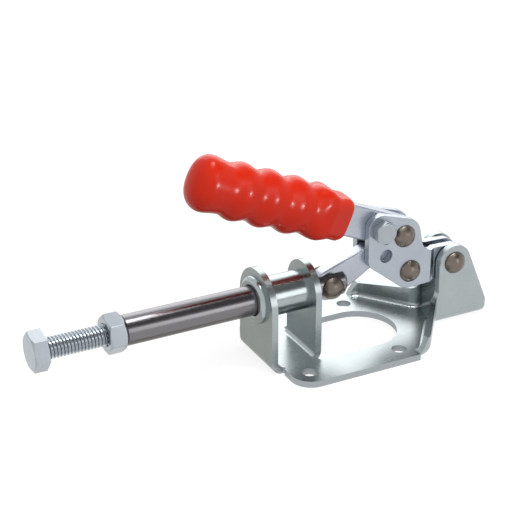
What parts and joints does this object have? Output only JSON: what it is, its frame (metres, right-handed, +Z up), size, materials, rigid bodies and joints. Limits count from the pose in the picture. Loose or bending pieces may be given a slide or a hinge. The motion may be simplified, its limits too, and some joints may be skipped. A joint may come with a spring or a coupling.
{
  "type": "toggle clamp",
  "caption": "Horizontal push-pull toggle clamp: a hand lever slides a plunger through a guide sleeve on a folded steel base and locks it straight, with an adjustable hex spindle.",
  "frame": {"origin": "centre of the four mounting holes, on the underside of the base", "axes": "+Z up from the base; the plunger slides along X in the plane Y = 0 and its working end points to -X; the handle's pivot is on the +X side; the base, its holes and the linkage are the same on both sides of Y = 0"},
  "size_m": [0.1834, 0.0554, 0.0847],
  "materials": {
    "zinc_plate": "bright blue-white zinc plating on stamped sheet",
    "bar_steel": "bright zinc plating on blanked bar",
    "plunger_steel": "burnished turned steel",
    "thread_steel": "bright zinc-plated fastener",
    "rivet_steel": "warm grey upset rivet heads",
    "grip_red": "glossy red moulded vinyl"
  },
  "bodies": {
    "frame": {"base_frame": "zinc_plate", "guide_sleeve": "zinc_plate", "ear_rivet": "rivet_steel", "ear_bush": "bar_steel"},
    "handle": {"side_plate_left": "zinc_plate", "side_plate_right": "zinc_plate", "handle_bar": "bar_steel", "grip": "grip_red", "handle_bolt": "thread_steel", "lock_washer": "thread_steel", "handle_nut": "thread_steel", "plate_rivet": "rivet_steel", "link_rivet": "rivet_steel"},
    "link": {"link": "bar_steel"},
    "plunger": {"plunger": "plunger_steel", "plunger_rivet": "rivet_steel"},
    "spindle": {"spindle_screw": "thread_steel"},
    "jam_nut": {"jam_nut": "thread_steel"}
  },
  "joints": [
    {"name": "handle_swing", "type": "hinge", "parent": "frame", "child": "handle", "pos_m": [0.051, 0, 0.0254], "axis": [0, 1, 0], "range_deg": [0, 115.57]},
    {"name": "link_fold", "type": "hinge", "parent": "handle", "child": "link", "pos_m": [0.032, 0, 0.0254], "axis": [0, 1, 0], "range_deg": [-146.87, 0]},
    {"name": "plunger_slide", "type": "slide", "parent": "frame", "child": "plunger", "axis": [1, 0, 0], "range_m": [0, 0.03201]},
    {"name": "spindle_adjust", "type": "slide", "parent": "plunger", "child": "spindle", "axis": [1, 0, 0], "range_m": [-0.01, 0.019]},
    {"name": "jam_nut_travel", "type": "slide", "parent": "plunger", "child": "jam_nut", "axis": [-1, 0, 0], "range_m": [0, 0.003]}
  ],
  "couplings": [
    {"joint": "link_fold", "follows": "handle_swing", "ratio": -1.2708},
    {"joint": "plunger_slide", "follows": "handle_swing", "m_per_rad": 0.015865}
  ]
}
